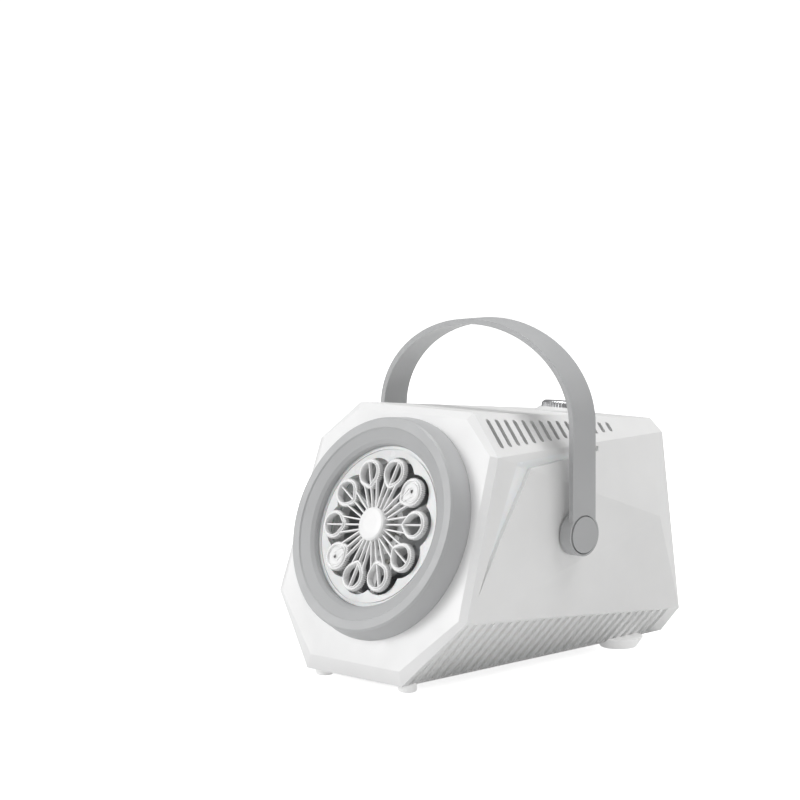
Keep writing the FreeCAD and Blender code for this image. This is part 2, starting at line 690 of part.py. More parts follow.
def make_fan_impeller():
    deep = number("blade_deep")
    reach = number("fan_reach")
    hub = Part.makeCylinder(number("fan_hub"), deep)
    room = Part.makeCylinder(reach, deep).cut(Part.makeCylinder(number("fan_hub") - 1.0, deep))
    blades = []
    for index in range(count("blades")):
        blade = Part.makeBox(2 * deep, reach, number("blade_thick"),
                             Vector(-deep, 0, -number("blade_thick") / 2))
        blade.rotate(Vector(), Y_AXIS, number("blade_pitch"))
        blade.translate(Vector(0, 0, deep / 2))
        blade.rotate(Vector(), Z_AXIS, 360.0 * index / count("blades"))
        blades.append(blade.common(room))
    fan = hub.multiFuse(blades)
    foot = FAN_FOOT - FAN_MOTOR_TOP + number("shaft_seat") - 0.4
    fan = fan.fuse(Part.makeCylinder(number("shaft_half"), foot + 1.0, Vector(0, 0, -foot)))
    keep(solid("fan_impeller", fan, on_front(FAN_FOOT)), "fan_impeller")


# ---------------------------------------------------------------- housing shells

def edge_frame(start, end, plane, toward):
    """A place on a side plane: X along an edge, Y in the plane away from it, Z out of it."""
    along = end - start
    along.normalize()
    across = plane.normal.cross(along)
    if across.dot(toward - start) < 0:
        across = across * -1
    outward = along.cross(across)
    return Placement(start, Rotation(along, across, outward, "XYZ")), across


def slot_prism(half_wide, low, high, deep):
    """A slot along Y with round ends, centred on X = 0, through a wall on both sides of Z = 0."""
    bar = Part.makeBox(2 * half_wide, high - low - 2 * half_wide, 2 * deep,
                       Vector(-half_wide, low + half_wide, -deep))
    for end in (low + half_wide, high - half_wide):
        bar = bar.fuse(Part.makeCylinder(half_wide, 2 * deep, Vector(0, end, -deep)))
    return bar.removeSplitter()


def vent_slots():
    """The slanted slots of one upper edge, shorter toward the rear as the edge narrows."""
    place, across = edge_frame(CROWN, REAR_CROWN, VENT_PLANE, SHOULDER)
    length = (REAR_CROWN - CROWN).Length
    front_wide = (SHOULDER - CROWN).dot(across)
    rear_wide = (REAR_SHOULDER - REAR_CROWN).dot(across)
    outward = place.Rotation.multVec(Z_AXIS).dot(VENT_PLANE.normal)
    slant = -math.copysign(number("vent_slant"), outward)
    slots = []
    for index in range(count("vents")):
        at = number("vent_first") + index * number("vent_pitch")
        wide = front_wide + (rear_wide - front_wide) * at / length
        slot = slot_prism(number("vent_wide") / 2, number("vent_top_inset"),
                          wide - number("vent_foot_inset"), 2 * number("wall"))
        slot.rotate(Vector(), Z_AXIS, slant)
        slot.translate(Vector(at, 0, 0))
        slot.Placement = place * slot.Placement
        slots.append(slot)
    return slots


def rib_grooves():
    """The grooves that leave the cross ribs of one lower edge standing."""
    place, across = edge_frame(FOOT, REAR_FOOT, RIB_PLANE, WAIST)
    length = (REAR_FOOT - FOOT).Length
    front_wide = (WAIST - FOOT).dot(across)
    rear_wide = (REAR_WAIST - REAR_FOOT).dot(across)
    grooves = []
    for index in range(count("ribs") - 1):
        at = number("rib_first") + index * number("rib_pitch")
        wide = front_wide + (rear_wide - front_wide) * at / length
        groove = Part.makeBox(number("rib_groove"), wide - 2 * number("rib_inset"),
                              2 * number("rib_deep"),
                              Vector(at, number("rib_inset"), -number("rib_deep")))
        groove.Placement = place
        grooves.append(groove)
    return grooves


def both_sides(shapes):
    mirrored = [shape.mirror(Vector(), X_AXIS) for shape in shapes]
    return Part.makeCompound(list(shapes) + mirrored)


GUIDE_OUTLINE = ((21.9, 52.2), (56.0, 117.5), (131.3, 118.8), (130.6, 116.2), (67.1, 113.2),
                 (41.6, 80.5))


def guide_prism(side, grow):
    """The V of one side light guide, seen from the side, as a prism through the side wall."""
    points = [Vector(0, y, z) for y, z in GUIDE_OUTLINE]
    wire = Part.makePolygon(points + [points[0]])
    if grow:
        wire = wire.makeOffset2D(grow, 2)
    prism = Part.Face(wire).extrude(Vector(SPACE, 0, 0))
    if side < 0:
        prism = prism.mirror(Vector(), X_AXIS)
    return prism


def pivot_cylinder(radius, start, end, side):
    """A cylinder on the handle's axis, between two distances from the middle plane."""
    shape = Part.makeCylinder(radius, end - start,
                              Vector(start, number("pivot_y"), number("pivot_z")), X_AXIS)
    return shape if side > 0 else shape.mirror(Vector(), X_AXIS)


def side_reach(y, z, radius):
    """The largest half width of the middle side facet inside a circle on it."""
    plane = ONE_SIDE[3]
    middle = (plane.point - Vector(0, y, z)).dot(plane.normal) / plane.normal.x
    return middle + radius * math.hypot(plane.normal.y, plane.normal.z) / plane.normal.x


EYE_INNER = (side_reach(number("pivot_y"), number("pivot_z"), number("eye_half"))
             + number("eye_clear"))
HANDLE_HALF = EYE_INNER + number("eye_thick")
BOSS_FACE = EYE_INNER - number("eye_gap")
BUTTON_POINT = TOP_PLANE.point + Vector(
    -TOP_PLANE.point.x, number("button_y") - TOP_PLANE.point.y,
    -(number("button_y") - TOP_PLANE.point.y) * TOP_PLANE.normal.y / TOP_PLANE.normal.z)
TOP_PLACE = FLOOR * Placement(BUTTON_POINT, Rotation(Z_AXIS, TOP_PLANE.normal))
LOCAL_TOP = Placement(BUTTON_POINT, Rotation(Z_AXIS, TOP_PLANE.normal))
BOARD_POSTS = [(x, y) for x in (-18.0, 18.0) for y in (-18.0, 14.0)]


def rear_local(side, up, depth):
    """A place on the rear plane: sideways, up along it and in from it, with Z out of the rear."""
    foot = rear_point(0, number("floor_gap"))
    place = Placement(foot, Rotation(Z_AXIS, REAR_PLANE.normal))
    lift = Vector(0, -math.sin(REAR_TILT), math.cos(REAR_TILT)) * up
    place.Base = foot + lift + Vector(side, 0, 0) - REAR_PLANE.normal * depth
    return place


def screw_block(side, up, half, deep):
    """A square pillar along a rear screw's axis."""
    place = rear_local(side, up, number("cover_thick") + deep)
    block = Part.makeBox(2 * half, 2 * half, deep, Vector(-half, -half, 0))
    block.Placement = place
    return block


def screw_places():
    """Where the four rear screws stand: sideways and up the rear plane."""
    rows = (("low_screw_x", "low_screw_up"), ("high_screw_x", "high_screw_up"))
    return [(sign * number(x), number(up)) for x, up in rows for sign in (1, -1)]


SIDE_POST_HEIGHTS = (8.0, 24.0)


def make_upper_housing():
    outer = housing_block(0, number("frame_depth"), number("cover_thick"))
    inner = housing_block(number("wall"), 0, 0)
    shell = outer.cut(inner)
    additions = []
    for name, side in SIDES:
        additions.append(pivot_cylinder(number("pivot_boss"),
                                        BOSS_FACE - number("boss_long"), BOSS_FACE, side))
        for height in SIDE_POST_HEIGHTS:
            post = Part.makeCylinder(
                number("side_post_half"), SPACE, Vector(number("side_board_x") + number("board_thick"),
                                 number("side_board_y") + number("side_board_wide") / 2,
                                 number("side_board_z") + height), X_AXIS)
            post = post if side > 0 else post.mirror(Vector(), X_AXIS)
            additions.append(post.common(housing_block(number("wall") / 2, 0, 0)))
    for x, y in BOARD_POSTS:
        post = Part.makeCylinder(number("post_half"), number("board_drop") - number("wall") / 2
                                 - number("board_thick"),
                                 Vector(x, y, -number("board_drop") + number("board_thick")))
        post.Placement = LOCAL_TOP
        additions.append(post)
    room = housing_block(0, number("frame_depth"), number("cover_thick"))
    for side, up in screw_places()[2:]:
        additions.append(screw_block(side, up, 10.5, 16.0).common(room)
                         .cut(rear_box_below(up - 5.0)))
    shell = shell.multiFuse(additions)
    tools = [beyond(SEAM_PLANE)]
    for name, side in SIDES:
        tools.append(guide_prism(side, 0).cut(housing_block(number("wall") + number("gap"), 0, 0)))
        tools.append(pivot_cylinder(number("pin_half") + number("bore_clearance"),
                                    BOSS_FACE - 2 * number("boss_long"), SPACE, side))
    button_hole = (number("button_half") + number("button_bore_gap") + number("spigot_wall")
                   + number("gap"))
    button = Part.makeCylinder(button_hole, 3 * number("wall"),
                               Vector(0, 0, -1.5 * number("wall")))
    button.Placement = LOCAL_TOP
    tools.append(button)
    for side, up in screw_places()[2:]:
        tools.append(screw_shank(side, up))
    shell = shell.cut(both_sides(vent_slots()))
    for tool in tools:
        shell = shell.cut(tool)
    keep(solid("upper_housing", shell.removeSplitter()), "upper_housing")


def rear_box_below(up):
    """Everything lower than a height along the rear plane, near the rear."""
    top = rear_local(0, up, 0).Base
    return Part.makeBox(SPACE, SPACE, SPACE,
                        Vector(-SPACE / 2, top.y - SPACE / 2, top.z - SPACE))


def screw_shank(side, up):
    """A rear screw's shank."""
    long = number("screw_long")
    shank = Part.makeCylinder(number("screw_half"), long)
    shank.Placement = rear_local(side, up, number("screw_head_deep") + long)
    return shank


def bay_tall():
    """The bay's height over the cells and the roof above them."""
    return (number("cell_lift") + 2 * number("cell_half") + number("cell_head")
            + number("bay_wall"))


def bay_span():
    """The battery bay: its half length across, and its first and last Y."""
    across = number("cell_long") / 2 + number("contact_thick") + 1.2
    deep = count("cell_count") * (2 * number("cell_half") + number("cell_gap")) + number("cell_gap")
    return across, number("bay_y"), number("bay_y") + deep


def make_lower_housing():
    outer = housing_block(0, number("frame_depth"), number("cover_thick"))
    inner = housing_block(number("wall"), 0, 0)
    shell = outer.cut(inner)
    additions = []
    for side, up in screw_places()[:2]:
        additions.append(screw_block(side, up, 9.0, 16.0).common(outer)
                         .cut(above_seam()))
    shell = shell.multiFuse(additions)
    above = above_seam()
    half, start, end = bay_span()
    margin = number("door_margin")
    opening = Part.makeBox(2 * half, end - start, 3 * number("wall"),
                           Vector(-half, start, 0))
    step = Part.makeBox(2 * half + 2 * margin, end - start + 2 * margin,
                        number("wall") / 2 + number("floor_gap"),
                        Vector(-half - margin, start - margin, 0))
    shell = shell.cut(above).cut(both_sides(rib_grooves())).cut(opening).cut(step)
    for side, up in screw_places()[:2]:
        shell = shell.cut(screw_shank(side, up))
    hole = Part.makeCylinder(number("screw_half"), 20.0,
                             Vector(0, start - margin / 2, number("floor_gap") - 1))
    shell = shell.cut(hole)
    keep(solid("lower_housing", shell.removeSplitter()), "lower_housing")


def above_seam():
    """The space above the seam between the two shells."""
    return beyond(Plane(SEAM_PLANE.point, SEAM_PLANE.normal * -1))


def make_rear_cover():
    cover = end_slab(REAR_PLANE, number("cover_thick"))
    for side, up in screw_places():
        cover = cover.cut(screw_shape(side, up))
    port = port_block(number("gap"), number("cover_thick") + 2.0)
    keep(solid("rear_cover", cover.cut(port).removeSplitter()), "rear_cover")


def screw_shape(side, up):
    """A rear screw: its head let into the cover, and its shank."""
    head = Part.makeCylinder(number("screw_head"), number("screw_head_deep"))
    head.Placement = rear_local(side, up, number("screw_head_deep"))
    return head.fuse(screw_shank(side, up))


def drive_slot(place, head_top):
    """The cross recess in a screw's head."""
    slot = Part.makeBox(2.8, 0.6, 0.9, Vector(-1.4, -0.3, head_top - 0.9))
    other = Part.makeBox(0.6, 2.8, 0.9, Vector(-0.3, -1.4, head_top - 0.9))
    cross = slot.fuse(other)
    cross.Placement = place
    return cross


def make_case_screws():
    screws = []
    for side, up in screw_places():
        place = rear_local(side, up, number("screw_head_deep"))
        screws.append(screw_shape(side, up).cut(drive_slot(place, number("screw_head_deep"))))
    keep(solid("case_screws", Part.makeCompound(screws)), "case_screws")


def port_block(grow, deep):
    """The charging socket's outline as a block through the rear cover."""
    half = number("port_half") + grow
    tall = number("port_tall") + 2 * grow
    place = rear_local(0, number("port_up") - grow, deep)
    block = Part.makeBox(2 * half, tall, deep + 1.0, Vector(-half, -tall, 0))
    block.Placement = Placement(place.Base, Rotation(X_AXIS, -90.0 + number("rear_tilt")))
    return block


def make_usb_port():
    deep = number("port_deep")
    half = number("port_half")
    tall = number("port_tall")
    shell = Part.makeBox(2 * half, tall, deep - 0.6, Vector(-half, -tall, 0))
    mouth = Part.makeBox(2 * half - 0.8, tall - 0.8, deep, Vector(-half + 0.4, -tall + 0.4, 1.2))
    tongue = Part.makeBox(2 * half - 2.6, 0.7, deep - 2.6,
                          Vector(-half + 1.3, -tall / 2 - 0.35, 1.0))
    board = Part.makeBox(2 * half + 8.0, 1.2, deep - number("cover_thick"),
                         Vector(-half - 4.0, 0, -0.2))
    socket = shell.cut(mouth).fuse(tongue).fuse(board)
    place = rear_local(0, number("port_up"), deep)
    socket.Placement = Placement(place.Base, Rotation(X_AXIS, -90.0 + number("rear_tilt")))
    keep(solid("usb_port", socket), "usb_port")


def make_light_guides():
    for name, side in SIDES:
        near = housing_block(number("wall"), number("frame_depth"), 0)
        guide = guide_prism(side, number("guide_lap")).common(near)
        guide = guide.cut(housing_block(number("wall") + number("guide_thick"), 0, 0))
        label = "light_guide_" + name
        keep(solid(label, guide), label)
        board = box("side_board_" + name, sizes.board_thick, sizes.side_board_wide,
                    sizes.side_board_long,
                    (number("side_board_x") if side > 0
                     else -number("side_board_x") - number("board_thick"),
                     number("side_board_y"), number("side_board_z")))
        keep(board, "side_light_board_" + name)


# ---------------------------------------------------------------- carry handle

def arch_face(half, top):
    """Half of an ellipse over two straight arms, closed along the pivots' height."""
    spring = number("arm_top_z")
    foot = number("pivot_z")
    ellipse = Part.Ellipse(Vector(half, 0, spring), Vector(0, 0, top), Vector(0, 0, spring))
    arc = Part.Arc(ellipse, 0, math.pi).toShape()
    ends = sorted((vertex.Point for vertex in arc.Vertexes), key=lambda point: point.x)
    left, right = ends
    lines = [Part.makeLine(right, Vector(half, 0, foot)),
             Part.makeLine(Vector(half, 0, foot), Vector(-half, 0, foot)),
             Part.makeLine(Vector(-half, 0, foot), left)]
    return Part.Face(Part.Wire(Part.sortEdges([arc] + lines)[0]))


def make_handle():
    half = HANDLE_HALF
    thick = number("strap_thick")
    top = number("arm_top_z") + number("arch_rise")
    wide = number("strap_wide")
    outer = arch_face(half, top).extrude(Vector(0, wide, 0))
    inner = arch_face(half - thick, top - thick).extrude(Vector(0, wide, 0))
    strap = outer.cut(inner)
    strap.translate(Vector(0, number("pivot_y") - wide / 2, 0))
    for name, side in SIDES:
        strap = strap.fuse(pivot_cylinder(number("eye_half"), EYE_INNER, half, side))
    for name, side in SIDES:
        strap = strap.cut(pivot_cylinder(number("pin_half"), 0, SPACE, side))
        strap = strap.cut(pivot_cylinder(number("cap_half") + number("cap_gap"),
                                         half - number("cap_deep"), SPACE, side))
    keep(solid("handle", strap.removeSplitter()), "handle")


def make_pivots():
    for name, side in SIDES:
        start = BOSS_FACE - number("boss_long")
        cap_foot = HANDLE_HALF - number("cap_deep")
        pin = pivot_cylinder(number("pin_half"), start, cap_foot, side)
        keep(solid("pivot_pin_" + name, pin), "pivot_pin_" + name)
        cap = pivot_cylinder(number("cap_half"), cap_foot,
                             HANDLE_HALF + number("cap_proud"), side)
        keep(solid("pivot_cap_" + name, cap), "pivot_cap_" + name)


# ---------------------------------------------------------------- power button and board

def on_top(rise, x=0.0, y=0.0):
    return TOP_PLACE * Placement(Vector(x, y, rise), Rotation())


def make_button():
    spigot = sizes.wall
    bore = sizes.button_half + sizes.button_bore_gap
    keep(turned("button_bezel", [
        (bore, 0), (bore + sizes.spigot_wall, 0), (bore + sizes.spigot_wall, spigot),
        (bore + sizes.bezel_foot_wall, spigot),
        (bore + sizes.bezel_foot_wall - 0.3, spigot + sizes.bezel_rise * 0.3),
        (bore + sizes.bezel_top_wall, spigot + sizes.bezel_rise),
        (bore, spigot + sizes.bezel_rise),
    ], on_top(-number("wall"))), "button_bezel")
    skirt = sizes.button_skirt
    keep(turned("power_button", [
        (0, 0), (sizes.button_half, 0), (sizes.button_half, skirt + sizes.button_rise - 1.0),
        (sizes.button_half - 1.0, skirt + sizes.button_rise), (0, skirt + sizes.button_rise),
    ], on_top(-number("button_skirt"))), "power_button")
    room = sizes.button_travel + sizes.switch_gap
    length = (sizes.board_drop - sizes.board_thick - sizes.switch_tall - sizes.button_skirt
              - room)
    foot = -number("button_skirt") - float(length)
    stem = cylinder("button_stem_bar", sizes.button_stem, length, on_top(foot))
    reach = room + 1.2
    plunger = cylinder("button_plunger", sizes.plunger_half, reach, on_top(foot - float(reach)))
    keep(fuse("button_stem", stem, plunger), "button_stem")


def make_board():
    drop = number("board_drop")
    board = box("board_blank", sizes.board_half * 2, sizes.board_fore + sizes.board_aft,
                sizes.board_thick, (-number("board_half"), -number("board_fore"), -drop),
                TOP_PLACE)
    chips = []
    for index, (x, y, wide, deep, tall) in enumerate((
            (-14.0, -12.0, 9.0, 9.0, 1.4), (8.0, -14.0, 6.0, 10.0, 4.0),
            (-12.0, 8.0, 5.0, 7.0, 6.0))):
        chips.append(box("board_chip_%d" % index, wide, deep, tall,
                         (x, y, -drop + number("board_thick")), TOP_PLACE))
    keep(fuse("main_board_parts", board, *chips), "main_board")
    wide = number("switch_wide")
    foot = -drop + number("board_thick")
    blank = box("switch_box", sizes.switch_wide, sizes.switch_wide, sizes.switch_tall,
                (-wide / 2, -wide / 2, foot), TOP_PLACE)
    seat = cylinder("switch_seat", sizes.plunger_half + sizes.gap, sizes.plunger_seat,
                    on_top(foot + number("switch_tall") - number("plunger_seat")))
    keep(cut("power_switch", blank, seat), "power_switch")


# ---------------------------------------------------------------- batteries, tank and feet

def make_battery_bay():
    half, start, end = bay_span()
    floor = number("floor_gap") + number("wall")
    wall = number("bay_wall")
    tall = bay_tall()
    outer = box("bay_outer", 2 * (half + wall), end - start + 2 * wall, tall,
                (-half - wall, start - wall, floor))
    inner = box("bay_inner", 2 * half, end - start, tall - wall, (-half, start, floor))
    keep(cut("battery_box", outer, inner), "battery_box")
    pitch = 2 * number("cell_half") + number("cell_gap")
    lift = floor + number("cell_half") + number("cell_lift")
    cells = []
    contacts = []
    for index in range(count("cell_count")):
        y = start + number("cell_gap") + number("cell_half") + index * pitch
        place = FLOOR * Placement(Vector(-number("cell_long") / 2, y, lift),
                                  Rotation(Z_AXIS, X_AXIS))
        cells.append(turned("cell_%d" % index, [
            (0, 0), (sizes.cell_half, 0), (sizes.cell_half, sizes.cell_long - 1.2),
            (2.6, sizes.cell_long - 1.2), (2.6, sizes.cell_long), (0, sizes.cell_long),
        ], place))
        for side in (-1, 1):
            x = side * (number("cell_long") / 2 + number("contact_thick") / 2)
            contacts.append(box("contact_%d_%d" % (index, side), sizes.contact_thick,
                                sizes.contact_wide, sizes.contact_wide,
                                (x - number("contact_thick") / 2,
                                 y - number("contact_wide") / 2,
                                 lift - number("contact_wide") / 2)))
    keep(fuse("battery_cells", *cells), "battery_cells")
    keep(fuse("battery_contacts", *contacts), "battery_contacts")


def make_battery_door():
    half, start, end = bay_span()
    margin = number("door_margin") - number("gap")
    base = number("floor_gap")
    thick = number("wall") / 2
    hole_y = start - number("door_margin") / 2
    plate = box("door_plate", 2 * (half + margin), end - start + 2 * margin, thick,
                (-half - margin, start - margin, base))
    pad = box("door_pad", 2 * half - 1.0, end - start - 1.0, thick,
              (-half + 0.5, start + 0.5, base + thick))
    blank = fuse("door_blank", plate, pad)
    hole = cylinder("door_hole", sizes.screw_half, 20.0,
                    FLOOR * Placement(Vector(0, hole_y, 0), Rotation()))
    keep(cut("battery_door", blank, hole), "battery_door")
    head = Part.makeCylinder(number("screw_head"), 1.0, Vector(0, hole_y, base - 1.0))
    shank = Part.makeCylinder(number("screw_half"), number("wall") + 0.5,
                              Vector(0, hole_y, base - 0.5))
    screw = head.fuse(shank).cut(
        Part.makeBox(3.0, 0.7, 0.5, Vector(-1.5, hole_y - 0.35, base - 1.0)))
    keep(solid("door_screw", screw), "door_screw")


def make_tank():
    half = number("tank_half")
    floor = number("floor_gap") + number("wall")
    wall = number("tank_wall")
    outer = box("tank_outer", sizes.tank_half * 2, sizes.tank_long, sizes.tank_tall,
                (-half, number("tank_y"), floor))
    inner = box("tank_inner", (sizes.tank_half - sizes.tank_wall) * 2,
                sizes.tank_long - sizes.tank_wall * 2, sizes.tank_tall,
                (-half + wall, number("tank_y") + wall, floor + wall))
    keep(cut("solution_tank", outer, inner), "solution_tank")
    lid = box("tank_lid_plate", (sizes.tank_half - sizes.tank_wall) * 2,
              sizes.tank_long - sizes.tank_wall * 2, sizes.tank_wall,
              (-half + wall, number("tank_y") + wall, floor + number("tank_tall") - wall))
    keep(lid, "tank_lid")


def make_feet():
    """Round front studs and tapering rear feet, each pair one sub-part."""
    body = housing_block(0, -1, 0)
    for name in ("front", "rear"):
        prefix = name + "_foot_"
        radius, top, tall, x, y = (number(prefix + word)
                                   for word in ("half", "top", "tall", "x", "y"))
        feet = []
        for _, side in SIDES:
            place = Vector(side * x, y, 0)
            if radius == top:
                foot = Part.makeCylinder(radius, tall, place)
            else:
                foot = Part.makeCone(radius, top, tall, place)
            bottom = [edge for edge in foot.Edges
                      if abs(edge.BoundBox.ZMax) < 1e-6 and edge.Closed]
            foot = foot.makeFillet(number("foot_edge"), bottom).cut(body)
            feet.append(max(foot.Solids, key=lambda shape: shape.Volume))
        keep(solid(name + "_feet", Part.makeCompound(feet)), name + "_feet")


# ---------------------------------------------------------------- building and writing

make_front_frame()
make_outlet_ring()
make_light_ring()
make_ring_light_board()
make_wand_wheel()
make_hub_cap()
make_wheel_axle()
make_wheel_bracket()
make_wheel_gear()
make_motor_pinion()
make_gearbox_case()
motor("wheel_motor", sizes.motor_half, sizes.motor_long, -CASE_DEPTH, -CENTRES)
make_air_duct()
make_fan_housing()
make_fan_impeller()
motor("fan_motor", sizes.fan_motor_half, sizes.fan_motor_long, FAN_MOTOR_TOP)
make_upper_housing()
make_lower_housing()
make_rear_cover()
make_case_screws()
make_usb_port()
make_light_guides()
make_handle()
make_pivots()
make_button()
make_board()
make_battery_bay()
make_battery_door()
make_tank()
make_feet()
doc.recompute()

for item in doc.Objects:
    for state in ("Invalid", "Error"):
        if state in item.State:
            raise RuntimeError("%s failed: %s" % (item.Label, item.State))
for label, item in NODES:
    if item.Shape.isNull() or not item.Shape.isValid() or item.Shape.Volume <= 0:
        raise RuntimeError("%s has no valid solid" % label)

os.makedirs("parts", exist_ok=True)
whole = FreeCAD.BoundBox()
for label, item in NODES:
    item.Shape.exportStep("parts/%s.step" % label)
    whole.add(item.Shape.BoundBox)
    print("%-26s solids %2d  volume %9.1f" % (label, len(item.Shape.Solids), item.Shape.Volume))
print("box X %.2f..%.2f  Y %.2f..%.2f  Z %.2f..%.2f"
      % (whole.XMin, whole.XMax, whole.YMin, whole.YMax, whole.ZMin, whole.ZMax))
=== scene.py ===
"""Looks of the bubble machine: finishes on the CAD nodes, a detailed wand wheel and button,
a plain studio and the camera.  Lengths are in metres, in the CAD model's frame."""
import json
import math

import bmesh
import bpy
from mathutils import Matrix, Vector


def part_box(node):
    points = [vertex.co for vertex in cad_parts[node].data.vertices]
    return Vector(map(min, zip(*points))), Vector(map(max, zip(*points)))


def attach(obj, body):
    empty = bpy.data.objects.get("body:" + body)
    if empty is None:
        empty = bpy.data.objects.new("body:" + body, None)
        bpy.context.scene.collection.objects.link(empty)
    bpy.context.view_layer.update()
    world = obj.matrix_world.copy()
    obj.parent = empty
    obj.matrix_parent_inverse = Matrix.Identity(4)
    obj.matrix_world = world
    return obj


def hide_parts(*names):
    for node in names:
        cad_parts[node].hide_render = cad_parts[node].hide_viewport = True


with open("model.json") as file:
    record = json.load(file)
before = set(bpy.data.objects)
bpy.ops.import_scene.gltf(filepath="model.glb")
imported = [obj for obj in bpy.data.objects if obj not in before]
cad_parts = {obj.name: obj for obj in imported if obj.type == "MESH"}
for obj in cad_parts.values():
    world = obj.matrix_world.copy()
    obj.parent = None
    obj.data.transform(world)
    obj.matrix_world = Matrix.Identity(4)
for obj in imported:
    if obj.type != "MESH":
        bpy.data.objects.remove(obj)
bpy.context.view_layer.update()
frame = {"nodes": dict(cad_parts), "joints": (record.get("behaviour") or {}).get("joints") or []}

NODES = frame["nodes"]
JOINTS = {joint["name"]: joint for joint in frame["joints"]}
MM = 0.001


# ---------------------------------------------------------------- materials

def new_material(name):
    """A new material with its node tree and its surface node."""
    material = bpy.data.materials.new(name)
    material.use_nodes = True
    return material, material.node_tree, material.node_tree.nodes["Principled BSDF"]


def add(tree, kind, **values):
    """A new node, with values for its inputs or for its own settings."""
    node = tree.nodes.new(kind)
    for name, value in values.items():
        if name in node.inputs:
            node.inputs[name].default_value = value
        else:
            setattr(node, name, value)
    return node


def noise(tree, scale, detail=2.0):
    """A noise texture in the object's own metres."""
    place = add(tree, "ShaderNodeTexCoord")
    texture = add(tree, "ShaderNodeTexNoise", Scale=scale, Detail=detail)
    tree.links.new(place.outputs["Object"], texture.inputs["Vector"])
    return texture.outputs["Fac"]


def ramp(tree, factor, low, high, start=0.3, end=0.7):
    """A colour between two colours, or a grey between two numbers, by a factor."""
    node = add(tree, "ShaderNodeValToRGB")
    for element, value, at in ((0, low, start), (1, high, end)):
        colour = (value, value, value) if isinstance(value, float) else value
        node.color_ramp.elements[element].position = at
        node.color_ramp.elements[element].color = (*colour, 1.0)
    tree.links.new(factor, node.inputs["Fac"])
    return node.outputs["Color"]


def shade(colour, factor):
    """A colour made lighter or darker by a factor."""
    return tuple(min(1.0, channel * factor) for channel in colour)


def moulded(name, colour, rough=0.4, grain=0.35, depth=0.02, spread=0.02, **sockets):
    """Moulded plastic: a fine spark-eroded grain, uneven gloss and a faint mottle.
    Grain and depth are in mm."""
    material, tree, surface = new_material(name)
    mottle = ramp(tree, noise(tree, 28.0, 3.0), shade(colour, 1.0 - spread),
                  shade(colour, 1.0 + spread))
    tree.links.new(mottle, surface.inputs["Base Color"])
    gloss = ramp(tree, noise(tree, 90.0, 4.0), rough - 0.05, rough + 0.06)
    tree.links.new(gloss, surface.inputs["Roughness"])
    bump = add(tree, "ShaderNodeBump", Strength=0.35, Distance=depth * MM)
    tree.links.new(noise(tree, 1.0 / (grain * MM), 2.0), bump.inputs["Height"])
    tree.links.new(bump.outputs["Normal"], surface.inputs["Normal"])
    for socket, value in sockets.items():
        surface.inputs[socket.replace("_", " ")].default_value = value
    return material


def metal(name, colour, rough=0.3, stretch=(1.0, 1.0, 1.0), scale=1500.0):
    """Brushed or turned metal: streaks along the axis that is stretched least."""
    material, tree, surface = new_material(name)
    place = add(tree, "ShaderNodeTexCoord")
    squeeze = add(tree, "ShaderNodeMapping", Scale=stretch)
    streaks = add(tree, "ShaderNodeTexNoise", Scale=scale, Detail=3.0)
    tree.links.new(place.outputs["Object"], squeeze.inputs["Vector"])
    tree.links.new(squeeze.outputs["Vector"], streaks.inputs["Vector"])
    factor = streaks.outputs["Fac"]
    tree.links.new(ramp(tree, factor, shade(colour, 0.9), shade(colour, 1.08)),
                   surface.inputs["Base Color"])
    tree.links.new(ramp(tree, factor, rough - 0.06, rough + 0.08), surface.inputs["Roughness"])
    bump = add(tree, "ShaderNodeBump", Strength=0.2, Distance=0.01 * MM)
    tree.links.new(factor, bump.inputs["Height"])
    tree.links.new(bump.outputs["Normal"], surface.inputs["Normal"])
    surface.inputs["Metallic"].default_value = 1.0
    return material


def circuit_board(name):
    """Green solder mask with faint tracks."""
    material, tree, surface = new_material(name)
    place = add(tree, "ShaderNodeTexCoord")
    tracks = add(tree, "ShaderNodeTexBrick", Scale=220.0, Color1=(0.02, 0.16, 0.06, 1.0),
                 Color2=(0.03, 0.20, 0.08, 1.0), Mortar=(0.07, 0.30, 0.12, 1.0))
    tree.links.new(place.outputs["Object"], tracks.inputs["Vector"])
    tree.links.new(tracks.outputs["Color"], surface.inputs["Base Color"])
    surface.inputs["Roughness"].default_value = 0.35
    return material


def add_painted_glow(material, colour, strength):
    """Adds a faint even glow: painted light that brightens a pale part which is no lamp."""
    surface = material.node_tree.nodes["Principled BSDF"]
    surface.inputs["Emission Color"].default_value = (*colour, 1.0)
    surface.inputs["Emission Strength"].default_value = strength
    return material


WHITE = moulded("white_plastic", (0.86, 0.86, 0.855), 0.36)
WHITE_FRONT = moulded("front_plastic", (0.86, 0.86, 0.86), 0.33)
GREY = moulded("grey_plastic", (0.46, 0.465, 0.47), 0.42, spread=0.03)
WHEEL_WHITE = moulded("wheel_plastic", (0.88, 0.88, 0.88), 0.34, spread=0.015)
INNER = moulded("inner_plastic", (0.50, 0.51, 0.52), 0.5)
INNER_WHITE = moulded("inner_white_plastic", (0.80, 0.80, 0.80), 0.45)
GEAR = moulded("gear_plastic", (0.80, 0.79, 0.74), 0.45)
# Painted light: the light ring and the light guides get a faint white glow that brightens them
# where their recesses shade them.
LENS = add_painted_glow(moulded("lens_plastic", (0.66, 0.665, 0.665), 0.24, grain=0.6, depth=0.01,
                       Subsurface_Weight=0.25, Subsurface_Scale=0.002), (0.97, 0.98, 1.0), 0.06)
GUIDE = add_painted_glow(moulded("guide_plastic", (0.80, 0.81, 0.81), 0.22, grain=0.6, depth=0.01,
                        Subsurface_Weight=0.25, Subsurface_Scale=0.002), (0.97, 0.98, 1.0), 0.14)
